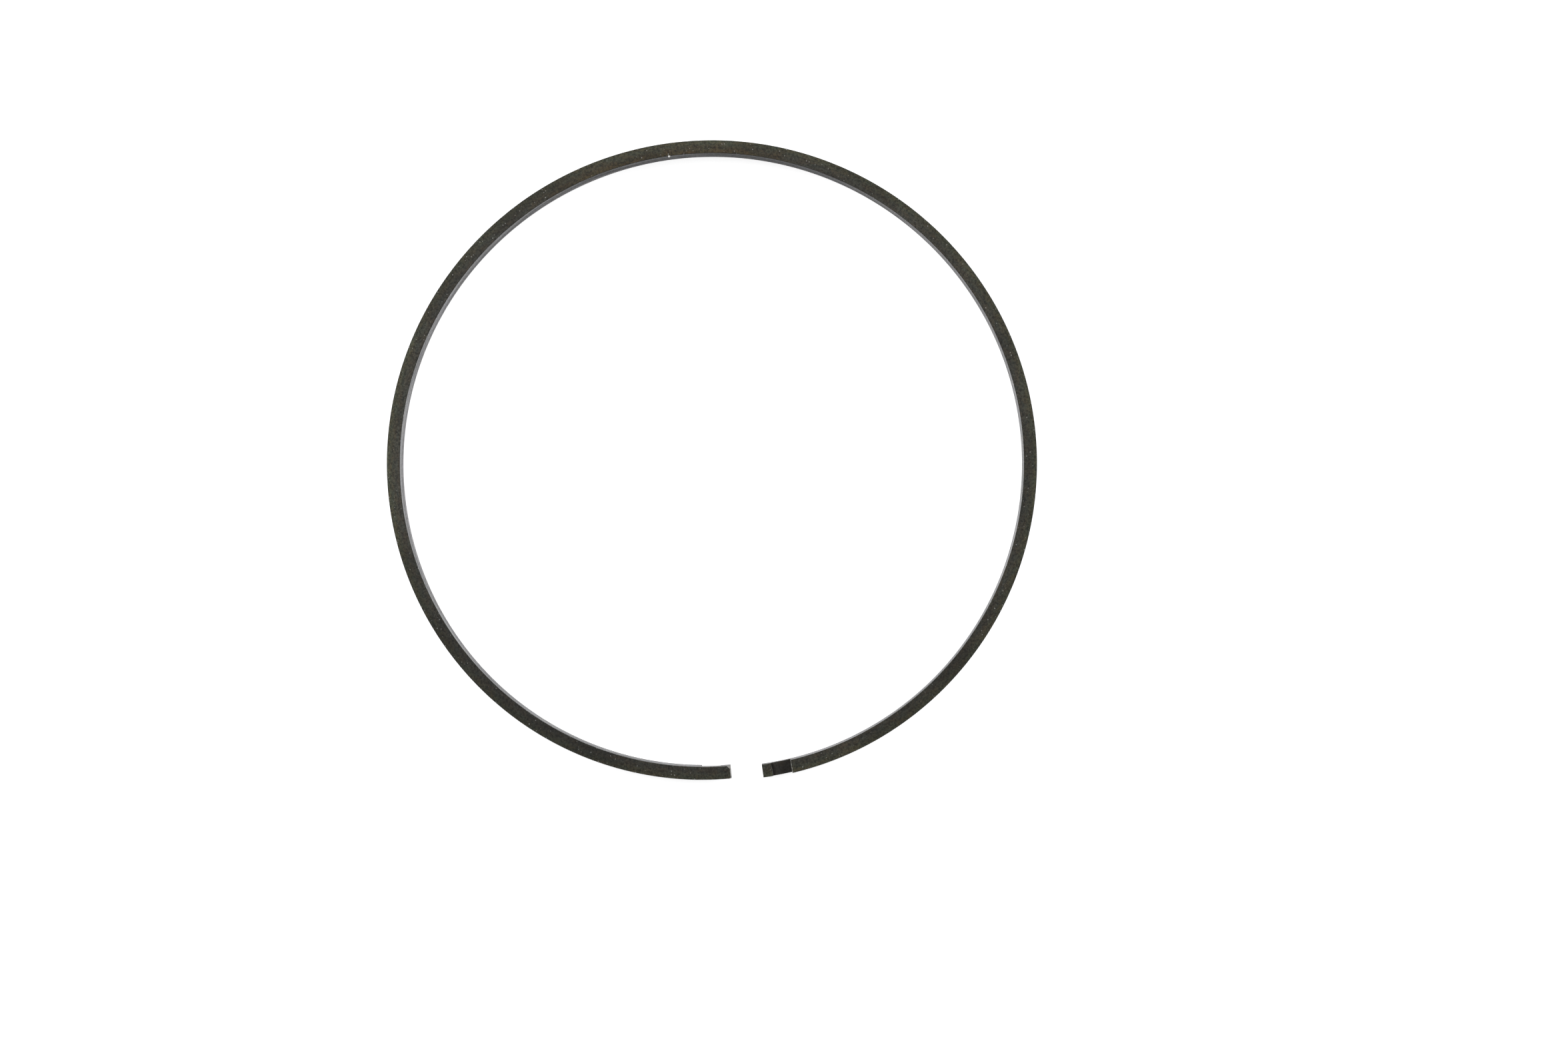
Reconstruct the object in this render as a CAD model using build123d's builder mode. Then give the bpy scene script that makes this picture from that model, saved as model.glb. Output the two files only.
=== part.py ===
from build123d import *
import os
from math import cos, degrees, pi, sin

# A one-piece split ring that seals a round bore, lying free and sprung open on its lower side face.
# Millimetres, +Z up. The hook joint is at the front, towards -Y. The origin is the middle of the
# ring's outline, on the lower side face.

# The ring
bore_diameter = 88.9
radial_wall = 1.85
ring_height = 2.38
edge_break = 0.06

# How far the two tips stand apart when the ring is free, how far they overlap when the bore closes
# it, and how far round the ring the joint sits from where the free shape alone would put it
free_gap = 4.48
closed_overlap = 3.10
joint_offset = 8.46

# The hook on each end: a straight slot milled across the ring, and the lug left beyond it
lug_length = 1.38
slot_width = 2.76
slot_floor = 0.98
hook_play = 0.04
step_chamfer = 0.10
lug_chamfer = 0.06

# The left tip's broken edge, and the slanting cuts that take off its two upper corners
tip_chamfer = 0.08
inner_corner_cut = 0.56
inner_corner_drop = 0.80
outer_corner_cut = 0.30
outer_corner_drop = 0.45

# The free shape is drawn as this many tangent arcs, and a cutter overshoots the ring by this much.
arc_count = 36
cutter_overshoot = 1.0

# A lug fits under the floor of the other end's slot, with the play between them.
lug_height = ring_height - slot_floor - hook_play

# Closed by the bore, the line midway between the walls is a circle, and the hooks overlap on it.
closed_radius = (bore_diameter - radial_wall) / 2
ring_length = 2 * pi * closed_radius + closed_overlap

# A ring that presses evenly on its bore has a free curvature of the closed curvature times
# 1 - spring * (1 + cos(angle from its back)). The first two terms of the series for how far the
# ends then spring apart give the spring.
opening = (free_gap + closed_overlap) / (3 * pi * closed_radius)
spring = opening * (1 - 5 / 6 * opening)

# Distances run anticlockwise along the middle line from the right tip. This is the free shape's back.
back = ring_length / 2 - joint_offset


def turn_from_back(distance):
    """Angle, in radians, that the free ring turns through between its back and a distance."""
    closed_angle = (distance - back) / closed_radius
    return closed_angle - spring * (closed_angle + sin(closed_angle))


# The ring is set round until its two ends lean equally, either side of the joint.
set_round = (turn_from_back(0) + turn_from_back(ring_length)) / 2


def heading(distance):
    """Direction in which the ring runs at a distance."""
    angle = pi + turn_from_back(distance) - set_round
    return Vector(cos(angle), sin(angle))


def outwards(distance):
    """Direction from the middle line to the outer wall at a distance."""
    return heading(distance).cross(Vector(0, 0, 1))


def draw_free_shape(start, offset):
    """Tangent arcs from the right tip to the left tip, at an offset outside the middle line."""
    step = ring_length / arc_count
    for number in range(arc_count):
        distance = number * step
        turned = turn_from_back(distance + step) - turn_from_back(distance)
        arc = JernArc(start, heading(distance), step / turned + offset, degrees(turned))
        start = arc @ 1


# A first line, drawn from the origin, shows where the middle of the outline falls.
with BuildLine() as first_line:
    draw_free_shape((0, 0), 0)

with BuildLine() as middle_line:
    draw_free_shape(-first_line.line.bounding_box().center(), 0)
middle_wire = middle_line.wire()


def hook_plane(end, distance):
    """Plane for the hook at one end, at a distance from its tip.

    Its origin is on the side face that the tip keeps. X runs from the tip into the ring, Y through
    the ring's height towards the slot's mouth, and Z outwards through the wall.
    """
    along = distance if end == "right" else ring_length - distance
    point = middle_wire.position_at(along, position_mode=PositionMode.LENGTH)
    if end == "right":
        return Plane(point, x_dir=heading(along), z_dir=outwards(along))
    return Plane(point + Vector(0, 0, ring_height), x_dir=-heading(along), z_dir=outwards(along))


def corner_plane(wall_side, cut, drop):
    """Plane that takes off an upper corner of the left tip, at the outer wall (1) or the inner (-1).

    It meets the tip's edge and the wall's edge at the cut, and the upright edge at the drop.
    """
    tip = hook_plane("left", 0)
    to_wall = tip.z_dir * wall_side
    corner = tip.origin + to_wall * radial_wall / 2
    middle = corner + (tip.x_dir * cut - to_wall * cut + tip.y_dir * drop) / 3
    facing = to_wall / cut - tip.x_dir / cut - tip.y_dir / drop
    return Plane(middle, x_dir=tip.x_dir * cut + to_wall * cut, z_dir=facing)


with BuildPart() as ring:
    # The blank: a band of even wall round the free shape, with its four long edges broken
    with BuildSketch():
        with BuildLine():
            to_wall = outwards(0) * radial_wall / 2
            inner_start = middle_wire @ 0 - to_wall
            outer_start = middle_wire @ 0 + to_wall
            draw_free_shape(inner_start, -radial_wall / 2)
            draw_free_shape(outer_start, radial_wall / 2)
            Line(inner_start, outer_start)
            to_wall = outwards(ring_length) * radial_wall / 2
            Line(middle_wire @ 1 - to_wall, middle_wire @ 1 + to_wall)
        make_face()
    extrude(amount=ring_height)
    chamfer(ring.edges().filter_by(GeomType.CIRCLE), length=edge_break)

    # The hooks, the right one milled from above and the left one from below
    for end in ("right", "left"):
        with BuildSketch(hook_plane(end, lug_length)):
            with BuildLine():
                Polyline(
                    (-lug_length - cutter_overshoot, lug_height),
                    (-lug_chamfer, lug_height),
                    (0, lug_height - lug_chamfer),
                    (0, slot_floor),
                    (slot_width, slot_floor),
                    (slot_width, ring_height - step_chamfer),
                    (slot_width + step_chamfer, ring_height),
                    (slot_width + step_chamfer, ring_height + cutter_overshoot),
                    (-lug_length - cutter_overshoot, ring_height + cutter_overshoot),
                    close=True,
                )
            make_face()
        extrude(amount=radial_wall, both=True, mode=Mode.SUBTRACT)

    # The left tip's upper edge and corners
    with BuildSketch(hook_plane("left", 0)):
        with BuildLine():
            Polyline(
                (2 * tip_chamfer, -tip_chamfer),
                (-tip_chamfer, 2 * tip_chamfer),
                (-tip_chamfer, -tip_chamfer),
                close=True,
            )
        make_face()
    extrude(amount=radial_wall, both=True, mode=Mode.SUBTRACT)
    for wall_side, cut, drop in (
        (1, outer_corner_cut, outer_corner_drop),
        (-1, inner_corner_cut, inner_corner_drop),
    ):
        with BuildSketch(corner_plane(wall_side, cut, drop)):
            Rectangle(4 * cut, 4 * drop)
        extrude(amount=cut, mode=Mode.SUBTRACT)

ring.part.label = "piston_ring"
os.makedirs("parts", exist_ok=True)
export_step(ring.part, "parts/piston_ring.step")
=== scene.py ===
# %% [markdown]
# A split seal ring with a hook joint
#
# The object is one thin band of iron, cut through at one place. It lies free on a white table and
# springs open, so its two ends stand apart. Each end is a hook: a slot milled half way through the
# band, with a low lug left beyond it. In its bore the ring is squeezed shut, and the hooks catch.
#
# The imported CAD model is the frame that everything here is fitted to. It is loaded first.

# %% Load the frame
from math import atan2, ceil, cos, degrees, pi, radians, sin

import bmesh
import bpy
from mathutils import Matrix, Vector


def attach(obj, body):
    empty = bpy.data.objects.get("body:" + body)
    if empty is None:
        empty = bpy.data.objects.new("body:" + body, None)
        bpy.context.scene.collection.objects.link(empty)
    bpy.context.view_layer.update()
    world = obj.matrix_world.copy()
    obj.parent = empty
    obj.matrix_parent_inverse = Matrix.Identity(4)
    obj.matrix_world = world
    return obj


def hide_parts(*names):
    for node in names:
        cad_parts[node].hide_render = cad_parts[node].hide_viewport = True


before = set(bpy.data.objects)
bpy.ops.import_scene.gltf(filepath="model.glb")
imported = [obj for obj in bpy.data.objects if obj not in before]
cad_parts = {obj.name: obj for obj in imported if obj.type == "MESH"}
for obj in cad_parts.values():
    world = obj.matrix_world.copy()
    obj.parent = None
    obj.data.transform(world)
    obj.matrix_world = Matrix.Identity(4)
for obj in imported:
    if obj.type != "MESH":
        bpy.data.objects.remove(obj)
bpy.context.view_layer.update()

# %% [markdown]
# Camera
#
# The ring was photographed from almost straight above. Its place comes from a fit: the ring's
# drawn outlines, seen through a camera, were laid over the outlines in the photograph until they
# agreed all the way round. The lens is given for a 36 mm wide picture, and the focal length was
# found in pixels of the photograph.

# %% Camera
PICTURE_WIDTH = 36
PHOTO_PIXELS, FOCAL_PIXELS = 2352, 2600

camera = bpy.data.objects.new("camera", bpy.data.cameras.new("camera"))
bpy.context.scene.collection.objects.link(camera)
camera.location = (0.011501, -0.015143, 0.246505)
camera.rotation_euler = (radians(1.147), radians(0.674), radians(-6.653))
camera.data.sensor_width = PICTURE_WIDTH
camera.data.lens = PICTURE_WIDTH * FOCAL_PIXELS / PHOTO_PIXELS
camera.data.clip_start = 0.005
bpy.context.scene.camera = camera
print("camera", round(camera.location.z * 1000), "mm above the table")

# %% [markdown]
# Nodes in code
#
# Every finish is a tree of nodes. In the shader editor each node is added, set and wired by hand.
# Here one helper does the three together, and another is a shorthand for the Math node, which is
# used more than any other.

# %% Helpers for nodes
def fresh_nodes(owner):
    """Turns nodes on, empties the tree and returns it."""
    owner.use_nodes = True
    owner.node_tree.nodes.clear()
    return owner.node_tree


def add(tree, kind, inputs=None, **settings):
    """Adds a node. Its inputs are given by name or number, each a value or another's output."""
    made = tree.nodes.new("ShaderNode" + kind)
    for name, value in settings.items():
        setattr(made, name, value)
    for name, value in (inputs or {}).items():
        if isinstance(value, bpy.types.NodeSocket):
            tree.links.new(value, made.inputs[name])
        else:
            made.inputs[name].default_value = value
    return made


def calc(tree, operation, first, second=0.0, third=0.0):
    """The output of a Math node."""
    return add(tree, "Math", {0: first, 1: second, 2: third}, operation=operation).outputs[0]


print("materials before any is made:", len(bpy.data.materials))

# %% [markdown]
# Table and light
#
# A white sheet of paper carries the ring. Its own colour reflects the lamps, so the ring keeps a
# shadow, and a little glow that only the camera and mirror-like reflections see lifts the paper
# to the clean white of the picture. The wall inside the ring shows where the light comes from: it
# is bright where it faces the left and the right, and dim where it faces the bottom. So one big
# soft lamp stands at the left and one at the right, both low, and little light comes from the room.

# %% Table
TABLE_WIDTH, TABLE_DROP = 4, 0.00001


def paper_finish():
    """White paper that glows a little in pictures and still takes a shadow."""
    paper = bpy.data.materials.new("white_paper")
    tree = fresh_nodes(paper)
    path = add(tree, "LightPath")
    glow = 0.0
    for ray, strength in (
        ("Is Camera Ray", 0.86),
        ("Is Glossy Ray", 0.3),
        ("Is Transmission Ray", 0.86),
    ):
        glow = calc(tree, "MULTIPLY_ADD", path.outputs[ray], strength, glow)
    sheet = add(
        tree,
        "BsdfPrincipled",
        {
            "Base Color": (0.46, 0.46, 0.464, 1),
            "Roughness": 0.9,
            "Specular IOR Level": 0,
            "Emission Color": (1, 1, 1, 1),
            "Emission Strength": glow,
        },
    )
    add(tree, "OutputMaterial", {"Surface": sheet.outputs[0]})
    return paper


bpy.ops.mesh.primitive_plane_add(size=TABLE_WIDTH, location=(0, 0, -TABLE_DROP))
table = bpy.context.object
table.name = "table"
table.data.materials.append(paper_finish())
print("table:", TABLE_WIDTH, "m wide, finished in", table.data.materials[0].name)

# %% Lamps
LAMP_WIDTH = 0.75


def soft_lamp(name, place, power):
    """A square lamp that looks at the middle of the ring."""
    lamp = bpy.data.objects.new(name, bpy.data.lights.new(name, "AREA"))
    bpy.context.scene.collection.objects.link(lamp)
    lamp.data.size = LAMP_WIDTH
    lamp.data.energy = power
    lamp.location = place
    lamp.rotation_euler = (-Vector(place)).to_track_quat("-Z", "Y").to_euler()


soft_lamp("left_lamp", (-0.710, 0.479, 0.455), 12.4)
soft_lamp("right_lamp", (0.837, 0.178, 0.455), 9.5)

# %% [markdown]
# The room round the table is white to look at, from any side, but gives the ring almost no light.
# The Light Path node tells the two apart: what the camera sees has the full strength of 1.

# %% Room
ROOM_LIGHT = 0.024

bpy.context.scene.world = bpy.data.worlds.new("studio")
tree = fresh_nodes(bpy.context.scene.world)
path = add(tree, "LightPath")
level = add(
    tree,
    "MapRange",
    {"Value": path.outputs["Is Camera Ray"], "To Min": ROOM_LIGHT, "To Max": 1.0},
)
room = add(tree, "Background", {"Color": (1, 1, 1, 1), "Strength": level.outputs["Result"]})
add(tree, "OutputWorld", {"Surface": room.outputs[0]})
bpy.context.scene.view_settings.view_transform = "Standard"
print("room:", len(tree.nodes), "nodes, light", ROOM_LIGHT)

# %% [markdown]
# The free shape
#
# A ring that presses evenly on its bore isn't a circle when it is free. It is drawn as a chain of
# arcs that run into each other. Each is a little flatter than the closed ring, and the flattest is
# at the back. The chain starts at the right tip and runs anticlockwise, seen from above. The
# numbers are the part's own, in millimetres.
#
# The ring is modelled with one unit to the millimetre and shrunk to metres at the end, because
# the smallest gaps that Blender's cutting and merging tell apart are large for a band this thin.

# %% The ring's measures
BORE, WALL, HEIGHT = 88.9, 1.85, 2.38
FREE_GAP, CLOSED_OVERLAP, JOINT_OFFSET = 4.48, 3.10, 8.46
LUG, SLOT, FLOOR, LUG_TOP = 1.38, 2.76, 0.98, 1.36
ARCS = 36
RADIUS = (BORE - WALL) / 2
LENGTH = 2 * pi * RADIUS + CLOSED_OVERLAP
OPENING = (FREE_GAP + CLOSED_OVERLAP) / (3 * pi * RADIUS)
SPRING = OPENING * (1 - 5 / 6 * OPENING)
BACK = LENGTH / 2 - JOINT_OFFSET
UP = Vector((0, 0, 1))
print("middle line", round(LENGTH, 3), "mm long, spring", round(SPRING, 5))

# %% The chain of arcs
def turned(distance):
    """Angle that the free ring turns through between its back and a distance."""
    angle = (distance - BACK) / RADIUS
    return angle - SPRING * (angle + sin(angle))


SET_ROUND = (turned(0) + turned(LENGTH)) / 2


def running(distance):
    """Direction in which the ring runs at a distance from its right tip."""
    angle = pi + turned(distance) - SET_ROUND
    return Vector((cos(angle), sin(angle), 0))


def outwards(distance):
    """Direction from the middle line to the outer wall."""
    return running(distance).cross(UP)


ARC_LENGTH = LENGTH / ARCS
centres, radii = [], []
point = Vector((0, 0, 0))
for number in range(ARCS):
    start = number * ARC_LENGTH
    radii.append(ARC_LENGTH / (turned(start + ARC_LENGTH) - turned(start)))
    centres.append(point - outwards(start) * radii[-1])
    point = centres[-1] + outwards(start + ARC_LENGTH) * radii[-1]
print("arcs:", ARCS, "with radii from", round(min(radii), 2), "to", round(max(radii), 2), "mm")

# %% [markdown]
# With the arcs known, any place on the ring is a point in space. The chain was drawn from the
# origin, so it is moved until the middle of its outline is there, as on the CAD model.

# %% The point at a place
def on_ring(distance, out=0.0, height=0.0):
    """Point at a distance along the ring, out from its middle line and above the table."""
    number = min(max(int(distance / ARC_LENGTH), 0), ARCS - 1)
    start = number * ARC_LENGTH
    share = (distance - start) / ARC_LENGTH
    angle = turned(start) + share * (turned(start + ARC_LENGTH) - turned(start))
    angle += pi - SET_ROUND
    away = Vector((cos(angle), sin(angle), 0)).cross(UP)
    return centres[number] + away * (radii[number] + out) + UP * height


SAMPLES = 20000
line = [on_ring(LENGTH * i / SAMPLES) for i in range(SAMPLES + 1)]
middle = Vector([(min(p[k] for p in line) + max(p[k] for p in line)) / 2 for k in range(3)])
centres = [centre - middle for centre in centres]
arc_middles = [on_ring((number + 0.5) * ARC_LENGTH) for number in range(ARCS)]
print("gap between the tips", round((on_ring(0) - on_ring(LENGTH)).length, 2), "mm")

# %% The place of a point
def where(point):
    """Distance along the ring of a point's section, how far out it is, and its height."""
    number = min(range(ARCS), key=lambda n: (arc_middles[n] - point).xy.length_squared)
    start = number * ARC_LENGTH
    first, last = turned(start), turned(start + ARC_LENGTH)
    away = (point - centres[number]).xy
    angle = atan2(away.y, away.x) - pi / 2 + SET_ROUND - first
    angle = (angle + pi) % (2 * pi) - pi
    distance = start + ARC_LENGTH * angle / (last - first)
    return Vector((distance, away.length - radii[number], point.z))


print("a point 7 mm along, 0.5 mm out, is found at", where(on_ring(7, 0.5, 1)))

# %% [markdown]
# Picking by place
#
# By hand, faces and edges are clicked. Here they are picked by where they are on the ring and
# which way they face. Each helper empties the selection first, because an operator acts on all
# that is selected. A straight cut isn't quite square to the curved band, so its corners may lie
# a little further along or back the further they are out. A face counts as level or upright by
# how much of its normal points up or down.

# %% Helpers for picking
TOUCH, LEAN = 0.03, 0.07
LEVEL, UPRIGHT = 0.9, 0.1


def start_editing(piece):
    """Makes a piece the only one selected, and goes into edit mode."""
    bpy.ops.object.select_all(action="DESELECT")
    bpy.context.view_layer.objects.active = piece
    piece.select_set(True)
    bpy.ops.object.mode_set(mode="EDIT")


def pick(piece, kind, wanted):
    """Selects the faces, edges or verts that pass a test, and returns how many there are.

    A face's test is given the place of its middle and its normal, an edge's the places of its
    two ends, and a vertex's its place. A place is (distance along, out, height).
    """
    bpy.ops.mesh.select_mode(type={"faces": "FACE", "edges": "EDGE", "verts": "VERT"}[kind])
    bpy.ops.mesh.select_all(action="DESELECT")
    mesh = bmesh.from_edit_mesh(piece.data)
    mesh.normal_update()
    places = {v: where(v.co) for v in mesh.verts}
    found = 0
    for part in getattr(mesh, kind):
        if kind == "faces":
            passes = wanted(where(part.calc_center_median()), part.normal)
        elif kind == "edges":
            passes = wanted(*(places[v] for v in part.verts))
        else:
            passes = wanted(places[part])
        if passes:
            part.select_set(True)
            found += 1
    bmesh.update_edit_mesh(piece.data)
    return found


def at(distance, height=None):
    """A test for places at a distance along the ring, and at a height if one is given."""

    def passes(*places):
        return all(
            abs(p.x - distance) < TOUCH + LEAN * abs(p.y)
            and (height is None or abs(p.z - height) < TOUCH)
            for p in places
        )

    return passes


print("places up to", TOUCH, "mm apart count as one")

# %% [markdown]
# The band
#
# The real ring is cast or coiled, then ground on its two side faces and turned on its walls. It
# could be an extruded sketch or a bent bar. Here the band's section, a plain rectangle, is set at
# the right slot and spun about one arc's centre after another until it reaches the left slot, so
# every wall has the arcs' true shape. Blender's spin turns clockwise round its axis, so the axis
# points down.

# %% Spin the band
FACE_LENGTH = 0.5
HAIR = 1e-6
RIGHT_WALL, LEFT_WALL = LUG + SLOT, LENGTH - LUG - SLOT


def sweep(start, end):
    """Spins what is selected along the chain of arcs from one distance to another."""
    forward = end > start
    while abs(end - start) > HAIR:
        number = int((start + (HAIR if forward else -HAIR)) / ARC_LENGTH)
        border = (number + forward) * ARC_LENGTH
        stop = min(border, end) if forward else max(border, end)
        bpy.ops.mesh.spin(
            steps=ceil(abs(stop - start) / FACE_LENGTH),
            angle=(stop - start) / radii[number],
            center=centres[number],
            axis=(0, 0, -1),
        )
        start = stop


bpy.ops.object.select_all(action="DESELECT")
bpy.ops.mesh.primitive_plane_add(size=1)
ring = bpy.context.object
ring.name = "ring_band"
ring.matrix_world = (
    Matrix.Translation(on_ring(RIGHT_WALL, 0, HEIGHT / 2))
    @ Matrix((outwards(RIGHT_WALL), UP, -running(RIGHT_WALL))).transposed().to_4x4()
    @ Matrix.Diagonal((WALL, HEIGHT, 1, 1))
)
bpy.ops.object.transform_apply(location=True, rotation=True, scale=True)
start_editing(ring)
bpy.ops.mesh.select_all(action="SELECT")
sweep(RIGHT_WALL, LEFT_WALL)
print("band:", len(bmesh.from_edit_mesh(ring.data).faces), "faces")

# %% [markdown]
# The hooks
#
# On the real ring a cutter goes straight across each end. It leaves a thin floor, and beyond it a
# lug that is a little higher. The cuts could be booleans with a block. Pulling the shape out is
# cleaner: the band's end face is split at the floor's level, the thin part is spun on to the tip,
# and then the lug's faces are pulled away from the floor. The right hook is cut from above and the
# left one from below, so each is the other turned over.

# %% Split the end faces and pull out the hooks
CUT_THRESHOLD = 1e-5


def pull_hook(slot_wall, lug_face, tip, level, rise, keeps_low):
    """Makes one hook: the floor from the slot's wall to the tip, then the lug on it."""

    def end_face(place, normal):
        return abs(normal.z) < UPRIGHT and abs(place.x - slot_wall) < TOUCH

    pick(ring, "faces", end_face)
    bpy.ops.mesh.bisect(plane_co=(0, 0, level), plane_no=(0, 0, 1), threshold=CUT_THRESHOLD)
    thin = pick(ring, "faces", lambda p, n: end_face(p, n) and (p.z < level) == keeps_low)
    sweep(slot_wall, lug_face)
    sweep(lug_face, (lug_face + tip) / 2)
    sweep((lug_face + tip) / 2, tip)
    low, high = sorted((lug_face, tip))
    lug = pick(
        ring,
        "faces",
        lambda p, n: low < p.x < high and abs(p.z - level) < TOUCH and abs(n.z) > LEVEL,
    )
    bpy.ops.mesh.extrude_region_move(TRANSFORM_OT_translate={"value": (0, 0, rise)})
    print("hook:", thin, "end face spun on,", lug, "faces pulled for the lug")


pull_hook(RIGHT_WALL, LUG, 0, FLOOR, LUG_TOP - FLOOR, True)
pull_hook(LEFT_WALL, LENGTH - LUG, LENGTH, HEIGHT - FLOOR, FLOOR - LUG_TOP, False)

# %% [markdown]
# The slot's wall is parallel to the lug's face, as one straight cut leaves it, so it isn't quite
# square to the band. The corners at each slot's wall are turned by what the band turns across the
# slot.

# %% Turn the slot walls
for wall, lug_face in ((RIGHT_WALL, LUG), (LEFT_WALL, LENGTH - LUG)):
    count = pick(ring, "verts", lambda p: abs(p.x - wall) < TOUCH)
    angle = turned(lug_face) - turned(wall)
    bpy.ops.transform.rotate(value=-angle, orient_axis="Z", center_override=on_ring(wall))
    print("slot wall:", count, "corners turned by", round(degrees(angle), 2), "degrees")

# %% [markdown]
# The left tip's corners
#
# Two slanting cuts take off the left tip's upper corners. A straight cut that leaves a flat facet
# is what bisect does: it clears what is in front of its plane and fills the opening.

# %% Cut the corners
INNER_CUT, INNER_DROP, OUTER_CUT, OUTER_DROP = 0.56, 0.80, 0.30, 0.45
MERGE_DISTANCE = 0.0005


def cut_corner(side, cut, drop):
    """Cuts the left tip's upper corner at the outer (1) or inner (-1) wall."""
    wall = side * WALL / 2
    on_tip = on_ring(LENGTH, wall - side * cut, HEIGHT)
    on_wall = on_ring(LENGTH - cut, wall, HEIGHT)
    on_upright = on_ring(LENGTH, wall, HEIGHT - drop)
    facing = (on_wall - on_tip).cross(on_upright - on_tip).normalized()
    if facing.z < 0:
        facing.negate()
    pick(ring, "faces", lambda p, n: p.x > LENGTH - LUG / 2 - TOUCH and p.z > HEIGHT - LUG_TOP)
    bpy.ops.mesh.bisect(
        plane_co=on_tip,
        plane_no=facing,
        use_fill=True,
        clear_outer=True,
        threshold=CUT_THRESHOLD,
    )


cut_corner(1, OUTER_CUT, OUTER_DROP)
cut_corner(-1, INNER_CUT, INNER_DROP)
bpy.ops.mesh.select_all(action="SELECT")
bpy.ops.mesh.remove_doubles(threshold=MERGE_DISTANCE)
bpy.ops.mesh.normals_make_consistent(inside=False)
print("corners cut:", len(bmesh.from_edit_mesh(ring.data).faces), "faces")

# %% [markdown]
# Finishes
#
# All the finishes are one iron, worked in different ways. So each material mixes the same effects,
# which are node groups with their own values in each: the iron's grain, the lines that a tool
# leaves, the wear towards an edge, stains and bare spots. They read the attribute "place", which
# says where on the ring a point lies, in millimetres: distance along, out from the middle line,
# and height. So the lines follow the band round its whole length, which Object coordinates can't
# do.

# %% Helpers for finishes
def new_group(name, inputs, outputs):
    """An empty node group, with its input and output nodes."""
    group = bpy.data.node_groups.new(name, "ShaderNodeTree")
    for way, sockets in (("INPUT", inputs), ("OUTPUT", outputs)):
        for label, kind in sockets.items():
            group.interface.new_socket(label, in_out=way, socket_type="NodeSocket" + kind)
    return group, group.nodes.new("NodeGroupInput"), group.nodes.new("NodeGroupOutput")


def use(tree, group, inputs):
    """Places a node group in a material, with this material's own values."""
    return add(tree, "Group", inputs, node_tree=group)


def ease(tree, value, low, high):
    """0 below low, 1 above high, and a smooth step between."""
    made = add(
        tree,
        "MapRange",
        {"Value": value, "From Min": low, "From Max": high},
        interpolation_type="SMOOTHSTEP",
    )
    return made.outputs["Result"]


def blend(tree, share, first, second, way="MIX"):
    """The second colour mixed into the first by its share, or the first multiplied by it."""
    sockets = {0: share, 6: first, 7: second}
    return add(tree, "Mix", sockets, data_type="RGBA", blend_type=way).outputs[2]


print("node groups before any is made:", len(bpy.data.node_groups))

# %% [markdown]
# Grain
#
# Blackened cast iron is never one flat colour. Clouds a few millimetres wide drift between grey,
# olive and brown, a fine mottle lies over them, and here and there a bright fleck shows where the
# skin has come off. The flecks are also painted glints, where light would catch the grain, and on
# the broken edges they are mostly painted glints. Clouds, tint and mottle are three noises, each
# with its own scale, whose middle values are spread to the whole range from 0 to 1. The clouds and
# the tint are drawn out along the band. The flecks are cells of which only some are lit, each with
# its own size and strength.

# %% Grain group
DRAWN_OUT = (0.4, 1, 1)

grain, given, result = new_group(
    "iron_grain",
    {
        "Place": "Vector",
        "Clouds per mm": "Float",
        "Tint per mm": "Float",
        "Mottle per mm": "Float",
        "Flecks per mm": "Float",
        "Fleck share": "Float",
        "Fleck size": "Float",
        "Fleck glint": "Float",
    },
    {"Clouds": "Float", "Tint": "Float", "Mottle": "Float", "Flecks": "Float"},
)
place = given.outputs["Place"]
drawn_out = add(grain, "VectorMath", {0: place, 1: DRAWN_OUT}, operation="MULTIPLY").outputs[0]
for label, on, detail, roughness in (
    ("Clouds", drawn_out, 6, 0.75),
    ("Tint", drawn_out, 5, 0.65),
    ("Mottle", place, 4, 0.78),
):
    scale = given.outputs[label + " per mm"]
    noise = add(
        grain,
        "TexNoise",
        {"Vector": on, "Scale": scale, "Detail": detail, "Roughness": roughness},
    )
    grain.links.new(ease(grain, noise.outputs[0], 0.34, 0.66), result.inputs[label])
print("grain group:", len(grain.nodes), "nodes for the three noises")

# %% Flecks in the grain group
cells = add(
    grain,
    "TexVoronoi",
    {"Vector": place, "Scale": given.outputs["Flecks per mm"], "Randomness": 1},
)
luck = add(grain, "SeparateColor", {0: cells.outputs["Color"]})
lit = calc(grain, "LESS_THAN", luck.outputs[0], given.outputs["Fleck share"])
grown = calc(grain, "ADD", luck.outputs[1], 0.5)
reach = calc(grain, "MULTIPLY", grown, given.outputs["Fleck size"])
near_middle = calc(grain, "DIVIDE", cells.outputs["Distance"], reach)
spot = calc(grain, "SUBTRACT", 1.0, ease(grain, near_middle, 0.5, 1.1))
# The flecks are bare spots and painted glints.
bright = calc(grain, "MULTIPLY", calc(grain, "MULTIPLY", lit, spot), luck.outputs[2])
bright = calc(grain, "MULTIPLY", bright, given.outputs["Fleck glint"])
grain.links.new(bright, result.inputs["Flecks"])
print("grain group:", len(grain.nodes), "nodes")

# %% [markdown]
# Tool lines
#
# A turning tool leaves fine lines that run round a wall, and a grinding wheel fainter ones on a
# side face. They are one noise, stretched: many changes to the millimetre across the lines, and
# hardly any along them. Which way is across differs, so each material gives its own stretch.

# %% Tool line group
tool_lines, given, result = new_group(
    "tool_lines", {"Place": "Vector", "Stretch": "Vector"}, {"Lines": "Float"}
)
stretched = add(
    tool_lines, "VectorMath", {0: given.outputs[0], 1: given.outputs[1]}, operation="MULTIPLY"
)
lines = add(
    tool_lines,
    "TexNoise",
    {"Vector": stretched.outputs[0], "Scale": 1, "Detail": 6, "Roughness": 0.68},
)
tool_lines.links.new(ease(tool_lines, lines.outputs[0], 0.3, 0.7), result.inputs["Lines"])
print("tool line group:", len(tool_lines.nodes), "nodes")
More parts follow.
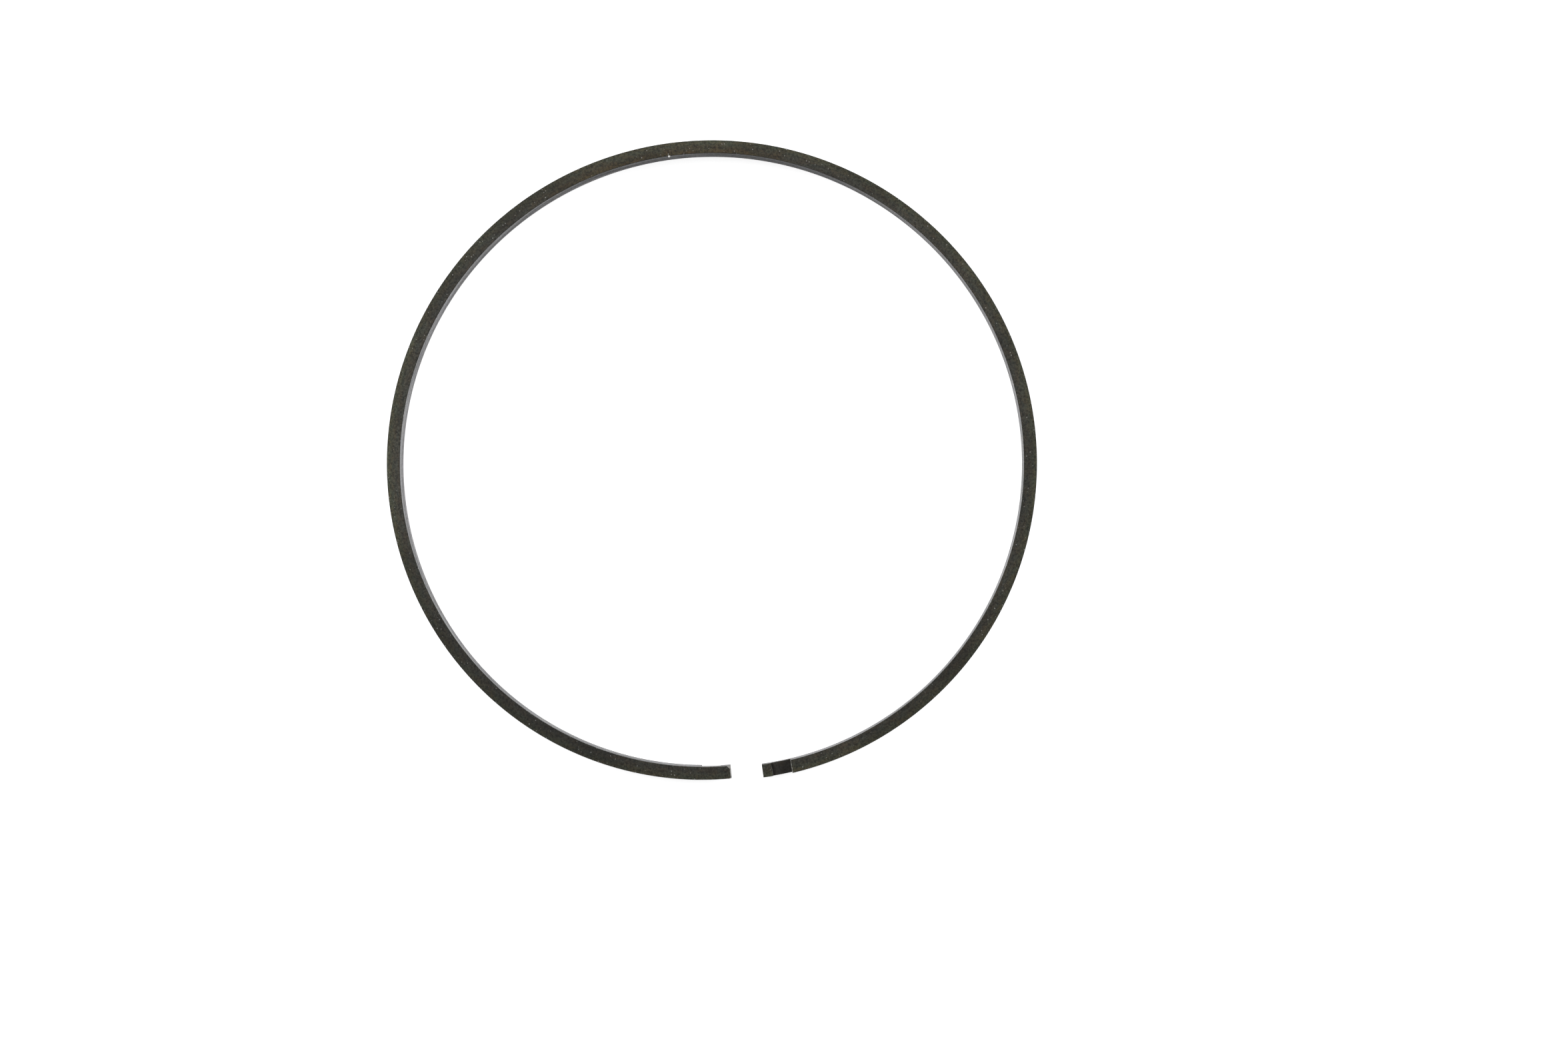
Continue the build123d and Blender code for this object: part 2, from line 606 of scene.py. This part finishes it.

# %% [markdown]
# Wear and painted glints towards the edges
#
# Handling rubs the black skin off beside an edge first, and not evenly, and the edges of the walls
# shine in short dashes. The bright dashes laid on here are partly that bare metal and partly
# painted glints, where light catches the edges. The group measures how far a point is from the
# nearest of the band's four long edges. A noise lengthens that distance where the edge stays dull,
# by as much as the breaks say. The result is 1 where an edge is bright and 0 past the reach.

# %% Edge wear and glint group
ALWAYS_BRIGHT = 0.35

edge_wear_and_glint, given, result = new_group(
    "edge_wear_and_glint", {"Place": "Vector", "Reach": "Float", "Breaks": "Float"}, {"Wear and glint": "Float"}
)
apart = add(edge_wear_and_glint, "SeparateXYZ", {0: given.outputs["Place"]})
from_wall = calc(edge_wear_and_glint, "SUBTRACT", WALL / 2, calc(edge_wear_and_glint, "ABSOLUTE", apart.outputs[1]))
from_top = calc(edge_wear_and_glint, "SUBTRACT", HEIGHT, apart.outputs[2])
from_side = calc(edge_wear_and_glint, "MINIMUM", apart.outputs[2], from_top)
far = calc(edge_wear_and_glint, "MAXIMUM", from_wall, from_side)
noise = add(edge_wear_and_glint, "TexNoise", {"Vector": given.outputs["Place"], "Scale": 4, "Detail": 3})
dull_by_noise = calc(edge_wear_and_glint, "SUBTRACT", noise.outputs[0], ALWAYS_BRIGHT)
broken = calc(edge_wear_and_glint, "MULTIPLY_ADD", dull_by_noise, given.outputs["Breaks"], far)
near_edge = calc(edge_wear_and_glint, "DIVIDE", broken, given.outputs["Reach"])
worn_and_glinting = calc(edge_wear_and_glint, "SUBTRACT", 1.0, ease(edge_wear_and_glint, near_edge, 0.0, 1.0))
edge_wear_and_glint.links.new(worn_and_glinting, result.inputs["Wear and glint"])
print("edge wear group:", len(edge_wear_and_glint.nodes), "nodes")

# %% [markdown]
# Stains and painted light
#
# Oil and rust colour whole stretches of the ring, and some stretches are only darker or lighter.
# The same group also paints light and shade: a paler patch where a shadow falls, and fainter
# highlights, as said where it is used. A stain has a start and an end along the band, and it may
# keep to one side of the wall: 1 is outside, -1 inside and 0 neither. It fades out over some
# millimetres, and noise frays it.

# %% Stain and painted light group
stain_and_painted_light, given, result = new_group(
    "iron_stain_and_painted_light",
    {"Place": "Vector", "Start": "Float", "End": "Float", "Fade": "Float", "Side": "Float"},
    {"Stain and painted light": "Float"},
)
apart = add(stain_and_painted_light, "SeparateXYZ", {0: given.outputs["Place"]})
noise = add(stain_and_painted_light, "TexNoise", {"Vector": given.outputs["Place"], "Scale": 0.6, "Detail": 4})
frayed = calc(stain_and_painted_light, "SUBTRACT", noise.outputs[0], 0.5)
along = calc(stain_and_painted_light, "MULTIPLY_ADD", frayed, given.outputs["Fade"], apart.outputs[0])
begun = calc(stain_and_painted_light, "SUBTRACT", along, given.outputs["Start"])
to_go = calc(stain_and_painted_light, "SUBTRACT", given.outputs["End"], along)
inside = calc(stain_and_painted_light, "DIVIDE", calc(stain_and_painted_light, "MINIMUM", begun, to_go), given.outputs["Fade"])
on_side = calc(stain_and_painted_light, "MULTIPLY", apart.outputs[1], given.outputs["Side"])
either = calc(stain_and_painted_light, "SUBTRACT", 1.0, calc(stain_and_painted_light, "ABSOLUTE", given.outputs["Side"]))
kept = calc(stain_and_painted_light, "MAXIMUM", ease(stain_and_painted_light, on_side, -0.5, 0.9), either)
stain_and_light_mask = calc(stain_and_painted_light, "MULTIPLY", ease(stain_and_painted_light, inside, -0.5, 0.5), kept)
stain_and_painted_light.links.new(stain_and_light_mask, result.inputs["Stain and painted light"])
print("stain group:", len(stain_and_painted_light.nodes), "nodes")

# %% [markdown]
# Bare spots and a painted glint
#
# The burr at the back of the ring is bright, and a fine scratch runs from it over the side face.
# Both are places where the skin is off, and the burr's near-white colour is also a painted glint of
# light. The group gives 1 inside an ellipsoid round such a place, frayed by noise. Each spot has
# its middle, how far it reaches along, out and up, and how strongly the white is laid on.

# %% Nick and glint group
FRAY = 0.9

nick_and_glint, given, result = new_group(
    "iron_nick_and_glint", {"Place": "Vector", "Middle": "Vector", "Reach": "Vector"}, {"Nick and glint": "Float"}
)
off = add(nick_and_glint, "VectorMath", {0: given.outputs[0], 1: given.outputs[1]}, operation="SUBTRACT")
share = add(nick_and_glint, "VectorMath", {0: off.outputs[0], 1: given.outputs[2]}, operation="DIVIDE")
far = add(nick_and_glint, "VectorMath", {0: share.outputs[0]}, operation="LENGTH")
noise = add(nick_and_glint, "TexNoise", {"Vector": given.outputs[0], "Scale": 9, "Detail": 3})
nearer = calc(nick_and_glint, "SUBTRACT", far.outputs["Value"], FRAY / 2)
frayed = calc(nick_and_glint, "MULTIPLY_ADD", noise.outputs[0], FRAY, nearer)
inside = calc(nick_and_glint, "SUBTRACT", 1.0, ease(nick_and_glint, frayed, 0.7, 1.0))
nick_and_glint.links.new(inside, result.inputs["Nick and glint"])
# The burr's spot is bare metal and a painted glint; the scratch is bare metal.
BURR_SPOT_AND_GLINT = ((139.47, -0.98, 2.32), (0.22, 0.18, 0.30), 1.0)
SCRATCH = ((139.56, -0.72, 2.38), (0.05, 0.22, 0.10), 0.25)
print("nick group:", len(nick_and_glint.nodes), "nodes")

# %% [markdown]
# One finish
#
# A finish starts from a dark and a light colour, shaded by mottle and tool lines. The tint
# multiplies them by brown, and the clouds and stains by their own tones; some of the stains are
# painted light or shade. Then the flecks and the rubbed edges lay bare metal over the skin,
# together with painted glints, and the burr's spot adds a painted glint of near white. The lighter
# the shade, the smoother the iron, and mottle and lines are also its bumps.

# %% A finish from its own values
# The first colour below is the grey of bare metal and of painted glints, and the second the near
# white of the burr's painted glint and of the scratch.
BARE_AND_GLINT = (0.34, 0.335, 0.32, 1)
SHINING = (0.9, 0.9, 0.88, 1)
BUMP_UNIT = 0.001


def iron_finish(
    name, dark, light, brown, cloud, per_mm, flecks, stretch, lined, wear_and_glint, rough, metal, bumps,
    stains_and_painted_light=(), worn_and_glinting=BARE_AND_GLINT,
):
    """One finish of the iron, with its own colours, clouds, lines, wear, painted glints and bumps.

    per_mm is how many clouds, tints and mottles there are to the millimetre, and flecks how many
    cells, with the share that is lit, their size and their glint. lined is the lines' share of the
    shade. The wear tuple is the reach, the breaks and the strength of the rubbed edges and their
    painted glints. rough is the roughness of the dark and the light shade, and bumps the height of
    lines and mottle, in millimetres.
    """
    finish = bpy.data.materials.new(name)
    tree = fresh_nodes(finish)
    place = add(tree, "Attribute", attribute_name="place").outputs["Vector"]
    sizes = dict(zip(("Clouds per mm", "Tint per mm", "Mottle per mm"), per_mm))
    spots = dict(zip(("Flecks per mm", "Fleck share", "Fleck size", "Fleck glint"), flecks))
    skin = use(tree, grain, {"Place": place, **sizes, **spots})
    marks = use(tree, tool_lines, {"Place": place, "Stretch": stretch})
    reach, breaks, strength = wear_and_glint
    rubbed_and_glint = use(tree, edge_wear_and_glint, {"Place": place, "Reach": reach, "Breaks": breaks})

    faint = calc(tree, "MULTIPLY", marks.outputs["Lines"], lined)
    shade = calc(tree, "MULTIPLY_ADD", skin.outputs["Mottle"], 1 - lined, faint)
    colour = blend(tree, shade, (*dark, 1), (*light, 1))
    colour = blend(tree, skin.outputs["Tint"], colour, (*brown, 1), "MULTIPLY")
    colour = blend(tree, skin.outputs["Clouds"], colour, (*cloud, 1), "MULTIPLY")
    for start, end, fade, side, tone in stains_and_painted_light:
        shape = {"Place": place, "Start": start, "End": end, "Fade": fade, "Side": side}
        patch = use(tree, stain_and_painted_light, shape)
        colour = blend(tree, patch.outputs[0], colour, (*tone, 1), "MULTIPLY")
    # Rubbed edges and painted glints on them, laid on with the flecks as bright metal.
    rubbed_off_and_glint = calc(tree, "MULTIPLY", rubbed_and_glint.outputs[0], strength)
    bare_and_glint = calc(tree, "MAXIMUM", skin.outputs["Flecks"], rubbed_off_and_glint)
    colour = blend(tree, bare_and_glint, colour, worn_and_glinting)
    # The burr's spot is laid on as near white: bare metal and a painted glint.
    for middle, reach, spot_strength in (BURR_SPOT_AND_GLINT, SCRATCH):
        spot = use(tree, nick_and_glint, {"Place": place, "Middle": middle, "Reach": reach}).outputs[0]
        colour = blend(tree, calc(tree, "MULTIPLY", spot, spot_strength), colour, SHINING)

    roughness = calc(tree, "MULTIPLY_ADD", shade, rough[1] - rough[0], rough[0])
    cut = calc(tree, "MULTIPLY", marks.outputs["Lines"], bumps[0])
    height = calc(tree, "MULTIPLY_ADD", skin.outputs["Mottle"], bumps[1], cut)
    bump = add(tree, "Bump", {"Height": height, "Distance": BUMP_UNIT, "Strength": 1.0})
    surface = {
        "Base Color": colour,
        "Roughness": roughness,
        "Normal": bump.outputs[0],
        "Metallic": metal,
    }
    iron = add(tree, "BsdfPrincipled", surface)
    add(tree, "OutputMaterial", {"Surface": iron.outputs[0]})
    return finish


print("bare metal:", BARE_AND_GLINT[:3], "and shining metal:", SHINING[:3])

# %% [markdown]
# The five finishes
#
# The ground side faces are dark and carry the brown and olive clouds. The turned walls are greyer
# and much lighter, mostly lines, and bright in dashes along their edges, partly rubbed bare and
# partly painted glints. The milled floors of the slots are the darkest, partly as milled iron and
# partly from the recess's shade painted into their colour, and a paler patch by the right lug's
# foot is painted light that lifts the lug's shadow. The broken long edges are as dark as the side
# faces, with a few large painted glints. The edges that the cutter left at the joint, and the left
# tip's cut corners, are nearly bare metal, and their light colour is also a painted highlight, made
# fainter at the right hook and fainter still on its inner half. A stain is its start and end, its
# fade, its side and its tone.

# %% Make the finishes
SIDE, TURNED, MILLED, BROKEN, CUT = range(5)
FINISHES = [
    iron_finish(
        "ground_side",
        dark=(0.0118, 0.0121, 0.0100), light=(0.0750, 0.0787, 0.0630),
        brown=(1.17, 0.915, 0.765), cloud=(0.48, 0.47, 0.45),
        per_mm=(0.13, 1.8, 3.0), flecks=(2.2, 0.50, 0.137, 1.8), stretch=(0.25, 3, 8), lined=0.15,
        wear_and_glint=(0.06, 0.25, 0.2), rough=(0.68, 0.52), metal=0.3, bumps=(0.003, 0.015),
        worn_and_glinting=(0.60, 0.59, 0.57, 1),
        stains_and_painted_light=(
            # A darker, bluer stretch towards the left tip.
            (226, 300, 12, 0, (0.78, 0.78, 0.82)),
            (124, 158, 12, -1, (1.12, 0.90, 0.50)),
            (-20, 300, 12, 1, (1.20, 1.28, 1.00)),
        ),
    ),
    iron_finish(
        "turned_wall",
        dark=(0.092, 0.093, 0.098), light=(0.580, 0.584, 0.602),
        brown=(1.03, 1.0, 0.95), cloud=(0.84, 0.84, 0.85),
        per_mm=(0.12, 1.0, 4.0), flecks=(1.6, 0.05, 0.10, 0.7), stretch=(0.07, 4, 2.4), lined=0.62,
        # Its edge wear paints bright dashes along the edges: bare metal and painted glints.
        wear_and_glint=(0.60, 2.6, 0.75), rough=(0.75, 0.5), metal=0.2, bumps=(0.006, 0.010),
        worn_and_glinting=(0.85, 0.85, 0.86, 1),
    ),
    # Painted shade: the slot floors are darker partly as milled iron and partly because the
    # recess's shade is laid into their colour.
    iron_finish(
        "milled_slot",
        dark=(0.014, 0.013, 0.0115), light=(0.044, 0.042, 0.037),
        brown=(1.12, 0.97, 0.80), cloud=(0.90, 0.88, 0.84),
        per_mm=(0.1, 1.6, 3.0), flecks=(1.6, 0.10, 0.10, 0.7), stretch=(6, 0.3, 6), lined=0.35,
        wear_and_glint=(0.05, 0.2, 0.0), rough=(0.75, 0.55), metal=0.3, bumps=(0.006, 0.008),
        # Painted light: this paler patch on the floor by the right lug's foot lifts the lug's cast
        # shadow.
        stains_and_painted_light=((-20, 2.0, 0.8, 0, (1.3, 1.3, 1.3)),),
    ),
    iron_finish(
        "broken_edge",
        dark=(0.010, 0.0105, 0.009), light=(0.050, 0.052, 0.045),
        brown=(1.08, 1.0, 0.88), cloud=(0.7, 0.7, 0.68),
        per_mm=(0.1, 1.5, 4.0), flecks=(3.0, 0.3, 0.35, 2.0), stretch=(1.5, 6, 6), lined=0.3,
        wear_and_glint=(0.05, 0.2, 0.0), rough=(0.6, 0.4), metal=0.3, bumps=(0.004, 0.010),
    ),
    # Partly bare metal and partly a painted highlight, where the cutter's edges and facets catch
    # light.
    iron_finish(
        "bare_cut_and_highlight",
        dark=(0.06, 0.06, 0.058), light=(0.44, 0.44, 0.43),
        brown=(1.05, 1.0, 0.90), cloud=(0.7, 0.7, 0.68),
        per_mm=(0.2, 1.5, 4.0), flecks=(3.0, 0.4, 0.30, 1.0), stretch=(3, 3, 3), lined=0.3,
        wear_and_glint=(0.05, 0.2, 0.0), rough=(0.5, 0.35), metal=0.2, bumps=(0.004, 0.010),
        # Darker at the right hook and darkest on its inner half, which makes the painted highlight
        # fainter there.
        stains_and_painted_light=((-20, 2.6, 1, 0, (0.45, 0.45, 0.45)), (-20, 2.6, 1, -1, (0.15, 0.15, 0.15))),
    ),
]
print("finishes:", [finish.name for finish in FINISHES])

# %% [markdown]
# Broken edges
#
# No edge of a ground ring is knife sharp. The four long edges are broken by a few hundredths of a
# millimetre, and in the photograph they and the edges of the joint catch the light as thin bright
# lines. Bevelling each edge by hand would do it. Giving edges a bevel weight and applying one Bevel
# modifier does all of them at once, each at its own width, and joins them cleanly at the corners.

# %% Tests for edges
def along_wall(height):
    """A test for edges that run along a wall at a height."""

    def passes(a, b):
        level = abs(a.z - height) < TOUCH and abs(b.z - height) < TOUCH
        on_wall = min(abs(a.y), abs(b.y)) > WALL / 2 - TOUCH
        return level and on_wall and a.y * b.y > 0 and abs(a.x - b.x) > 2 * TOUCH

    return passes


def across(distance, height):
    """A test for edges that cross the band at a distance and a height."""
    there = at(distance, height)
    return lambda a, b: there(a, b) and abs(a.y - b.y) > WALL / 4


def upright(distance, low, high):
    """A test for upright edges on a wall at a distance, between two heights."""
    there = at(distance)

    def passes(a, b):
        inside = all(low - TOUCH < p.z < high + TOUCH for p in (a, b))
        return there(a, b) and inside and abs(a.z - b.z) > 2 * TOUCH and abs(a.y - b.y) < TOUCH

    return passes


print("edges at the right tip:", pick(ring, "edges", at(0)))

# %% [markdown]
# The long edges, the two steps and the lugs' edges have the widths of the CAD model's chamfers. The
# other small edges of the lugs and slots are only taken off a little. LUG_FOOT is the height down
# to which the left lug hangs, as the right one rises to LUG_TOP.

# %% Weigh the edges
LONG_EDGE, STEP_EDGE, LUG_EDGE, TIP_EDGE, SMALL_EDGE = 0.06, 0.10, 0.06, 0.10, 0.03
WIDEST = 0.10
LUG_FOOT = HEIGHT - LUG_TOP


def weigh(name, width, wanted):
    """Gives the edges that pass the test their width of bevel."""
    found = pick(ring, "edges", wanted)
    bpy.ops.transform.edge_bevelweight(value=width / WIDEST)
    print("bevel:", name, found, "edges,", width, "mm")


for height in (0, HEIGHT):
    weigh("long edges", LONG_EDGE, along_wall(height))
weigh("right step", STEP_EDGE, across(RIGHT_WALL, HEIGHT))
weigh("left step", STEP_EDGE, across(LEFT_WALL, 0))
weigh("right lug's edge", LUG_EDGE, across(LUG, LUG_TOP))
weigh("left lug's edge", LUG_EDGE, across(LENGTH - LUG, LUG_FOOT))
weigh("left tip's upper edge", TIP_EDGE, across(LENGTH, HEIGHT))
for distance, height in ((0, 0), (0, LUG_TOP), (LENGTH, LUG_FOOT)):
    weigh("tip's edge", SMALL_EDGE, across(distance, height))
for height, low, high in (
    (FLOOR, LUG, RIGHT_WALL),
    (LUG_TOP, 0, LUG),
    (HEIGHT - FLOOR, LEFT_WALL, LENGTH - LUG),
    (LUG_FOOT, LENGTH - LUG, LENGTH),
):
    level = along_wall(height)
    weigh(
        "floor's or lug's long edges",
        SMALL_EDGE,
        lambda a, b: level(a, b) and low < (a.x + b.x) / 2 < high,
    )
for distance, low, high in (
    (RIGHT_WALL, FLOOR, HEIGHT),
    (LUG, FLOOR, LUG_TOP),
    (0, 0, LUG_TOP),
    (LEFT_WALL, 0, HEIGHT - FLOOR),
    (LENGTH - LUG, LUG_FOOT, HEIGHT - FLOOR),
    (LENGTH, LUG_FOOT, HEIGHT),
):
    weigh("upright edges", SMALL_EDGE, upright(distance, low, high))

# %% [markdown]
# The modifier reads the weights as shares of its own width. Its two segments make each edge round,
# it gives its own faces the finish of the broken edges, and hardened normals keep the flat faces
# looking flat beside them.

# %% Bevel the edges
bpy.ops.object.mode_set(mode="OBJECT")
bpy.ops.object.shade_smooth_by_angle(angle=radians(40))
bpy.ops.object.modifier_add(type="BEVEL")
edges = ring.modifiers[-1]
edges.limit_method = "WEIGHT"
edges.width = WIDEST
edges.segments = 2
edges.harden_normals = True
edges.material = BROKEN
for finish in FINISHES:
    ring.data.materials.append(finish)
bpy.ops.object.modifier_apply(modifier=edges.name)
print("bevelled:", len(ring.data.polygons), "faces")

# %% [markdown]
# The burr
#
# At the back of the ring a tiny burr stands out from the inner edge, and shines. It could be a
# separate chip, but on the real ring it is the ring's own metal, pushed over. So a small square is
# cut out of the wall's face with three bisects, extruded inwards, and its lower side lifted. The
# wall's foot and top are heights that leave the bevels below and above the wall out of the picks.

# %% Raise the burr
BURR, BURR_WIDTH, BURR_DEPTH = 139.47, 0.26, 0.15
BURR_FOOT, BURR_LIFT = 2.10, 0.14
BURR_NEAR, WALL_FOOT, WALL_TOP = 0.4, 0.5, HEIGHT - 0.05


def on_burr(place, low=WALL_FOOT):
    """True for a place on the inner wall by the burr, above a height."""
    on_wall = place.y < TOUCH - WALL / 2
    return abs(place.x - BURR) < BURR_NEAR and on_wall and low < place.z < WALL_TOP


def burr_face(place, normal):
    """True for the square of the wall that becomes the burr."""
    between_cuts = abs(place.x - BURR) < BURR_WIDTH / 2
    return on_burr(place, BURR_FOOT) and between_cuts and abs(normal.z) < UPRIGHT


def lower_corner(place):
    """True for the two inner corners of the burr that are lifted."""
    return on_burr(place) and place.y < -WALL / 2 - TOUCH and place.z < BURR_FOOT + TOUCH


start_editing(ring)
for point, normal in (
    (on_ring(BURR - BURR_WIDTH / 2), running(BURR)),
    (on_ring(BURR + BURR_WIDTH / 2), running(BURR)),
    (Vector((0, 0, BURR_FOOT)), UP),
):
    pick(ring, "faces", lambda p, n: on_burr(p) and abs(n.z) < UPRIGHT)
    bpy.ops.mesh.bisect(plane_co=point, plane_no=normal, threshold=CUT_THRESHOLD)
count = pick(ring, "faces", burr_face)
inwards = outwards(BURR) * -BURR_DEPTH
bpy.ops.mesh.extrude_region_move(TRANSFORM_OT_translate={"value": inwards})
pick(ring, "verts", lower_corner)
bpy.ops.transform.translate(value=(0, 0, BURR_LIFT))
pick(ring, "faces", lambda p, n: on_burr(p, BURR_FOOT - TOUCH) and p.y < -WALL / 2 - TOUCH)
bpy.ops.mesh.faces_shade_flat()
bpy.ops.object.mode_set(mode="OBJECT")
print("burr:", count, "face raised,", len(ring.data.polygons), "faces in all")

# %% [markdown]
# Which finish goes where
#
# The Bevel modifier gave its own faces the finish of the broken edges. The rest are told apart by
# the way they face and where they are.

# %% Give each face its finish
AT_JOINT = RIGHT_WALL + 0.2

start_editing(ring)
mesh = bmesh.from_edit_mesh(ring.data)
mesh.normal_update()
for face in mesh.faces:
    spot = where(face.calc_center_median())
    from_tip = min(spot.x, LENGTH - spot.x)
    if face.material_index == BROKEN:
        if from_tip < AT_JOINT and abs(spot.y) < WALL / 2 - TOUCH:
            face.material_index = CUT
        continue
    on_side = min(abs(spot.z), abs(spot.z - HEIGHT)) < TOUCH
    on_lug = min(abs(spot.z - LUG_TOP), abs(spot.z - LUG_FOOT)) < TOUCH
    if abs(face.normal.z) > LEVEL:
        face.material_index = SIDE if on_side or on_lug else MILLED
    elif abs(face.normal.z) > UPRIGHT:
        face.material_index = CUT
    elif abs(spot.y) > WALL / 2 - TOUCH or from_tip < TOUCH:
        face.material_index = TURNED
    else:
        face.material_index = MILLED
bmesh.update_edit_mesh(ring.data)
bpy.ops.object.mode_set(mode="OBJECT")
for number, finish in enumerate(FINISHES):
    print(finish.name, sum(f.material_index == number for f in ring.data.polygons), "faces")

# %% [markdown]
# The places
#
# The finishes read where they are from the attribute "place". Geometry Nodes could work it out
# too. Here each point of the mesh is simply told its place, while the ring is still in
# millimetres.

# %% Give each point its place
places = ring.data.attributes.new("place", "FLOAT_VECTOR", "POINT")
for vertex in ring.data.vertices:
    places.data[vertex.index].vector = where(vertex.co)
print("places given to", len(places.data), "points")

# %% [markdown]
# Metres
#
# Scaling the object and then applying the scale puts the size into the mesh, so the finished object
# sits at the origin, unturned and unscaled. Then the CAD ring is hidden, since this piece stands
# for it, and the piece is attached to the body it moves with.

# %% Shrink it to metres
ring.scale = (0.001, 0.001, 0.001)
bpy.ops.object.transform_apply(location=True, rotation=True, scale=True)
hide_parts("piston_ring")
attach(ring, "root")
print("ring, in metres:", *(round(side, 5) for side in ring.dimensions))
